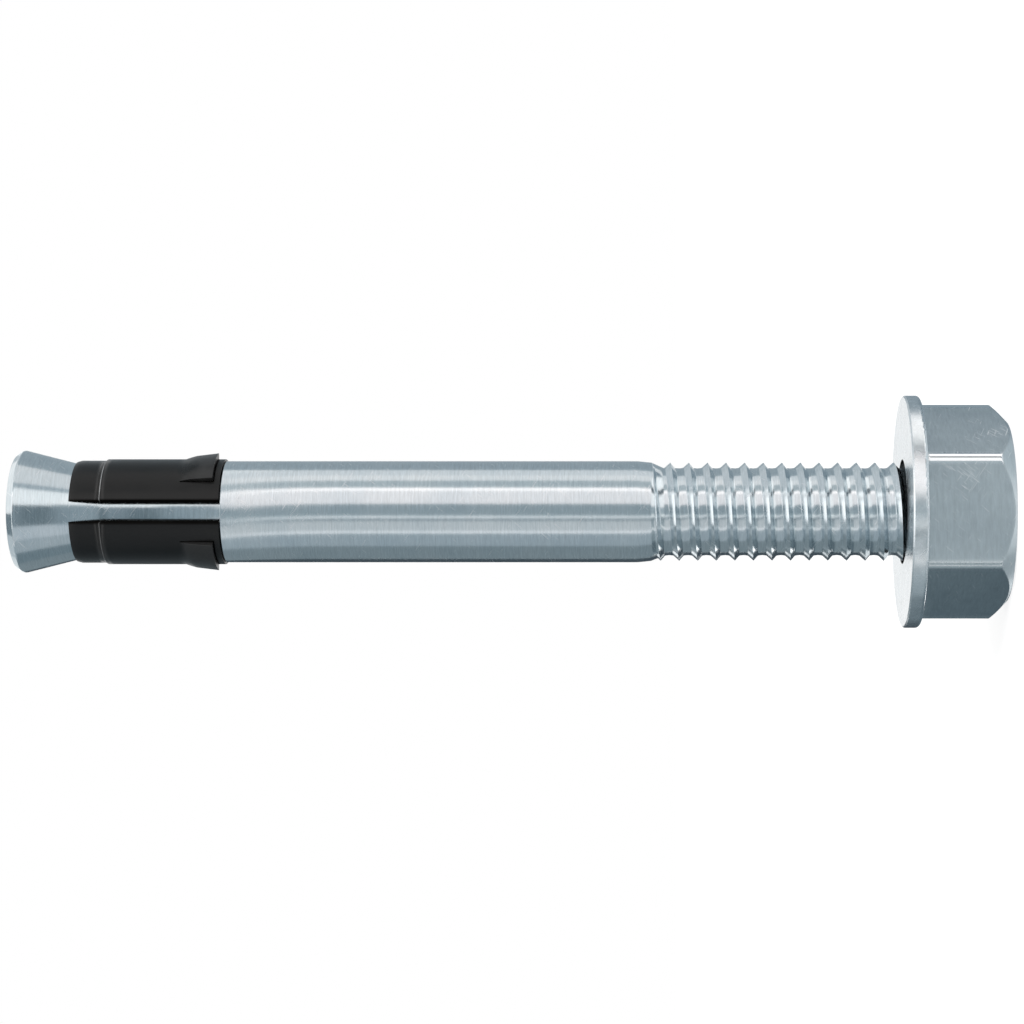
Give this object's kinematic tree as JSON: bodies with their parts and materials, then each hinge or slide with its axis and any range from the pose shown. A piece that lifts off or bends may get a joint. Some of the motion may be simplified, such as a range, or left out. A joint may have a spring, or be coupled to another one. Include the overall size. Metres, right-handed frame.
{
  "type": "nail anchor",
  "caption": "Hammer-set nail anchor: threaded stud with an expansion cone, slit expansion sleeve, washer and hex nut.",
  "frame": {"origin": "centre of the hex nut's end face, which the anchor stands on", "axes": "+Z along the bolt from the nut's end face to the expansion cone; the sleeve's slit and one flat of the nut face -Y, and two of the nut's corners lie on +X and -X"},
  "size_m": [0.0125, 0.0124, 0.0531],
  "materials": {
    "bolt_zinc": "bright zinc plating with a cool grey tone and fine marks round the rod",
    "sleeve_black": "satin black coating on sheet steel",
    "washer_zinc": "bright zinc plating on a punched ring",
    "nut_zinc": "zinc plating on a cold-formed nut, slightly scuffed"
  },
  "bodies": {
    "anchor_bolt": {"anchor_bolt": "bolt_zinc"},
    "expansion_sleeve": {"expansion_sleeve": "sleeve_black"},
    "washer": {"washer": "washer_zinc"},
    "hex_nut": {"hex_nut": "nut_zinc"}
  },
  "joints": [
    {"name": "sleeve_turn", "type": "hinge", "parent": "anchor_bolt", "child": "expansion_sleeve", "pos_m": [0, 0, 0.0459], "axis": [0, 0, 1], "continuous": true},
    {"name": "nut_travel", "type": "slide", "parent": "anchor_bolt", "child": "washer", "axis": [0, 0, 1], "range_m": [-0.004, 0.013]},
    {"name": "nut_turn", "type": "hinge", "parent": "washer", "child": "hex_nut", "pos_m": [0, 0, 0.00235], "axis": [0, 0, 1], "range_deg": [-1440, 4680]}
  ],
  "couplings": [
    {"joint": "nut_turn", "follows": "nut_travel", "rad_per_m": 6283.2}
  ]
}
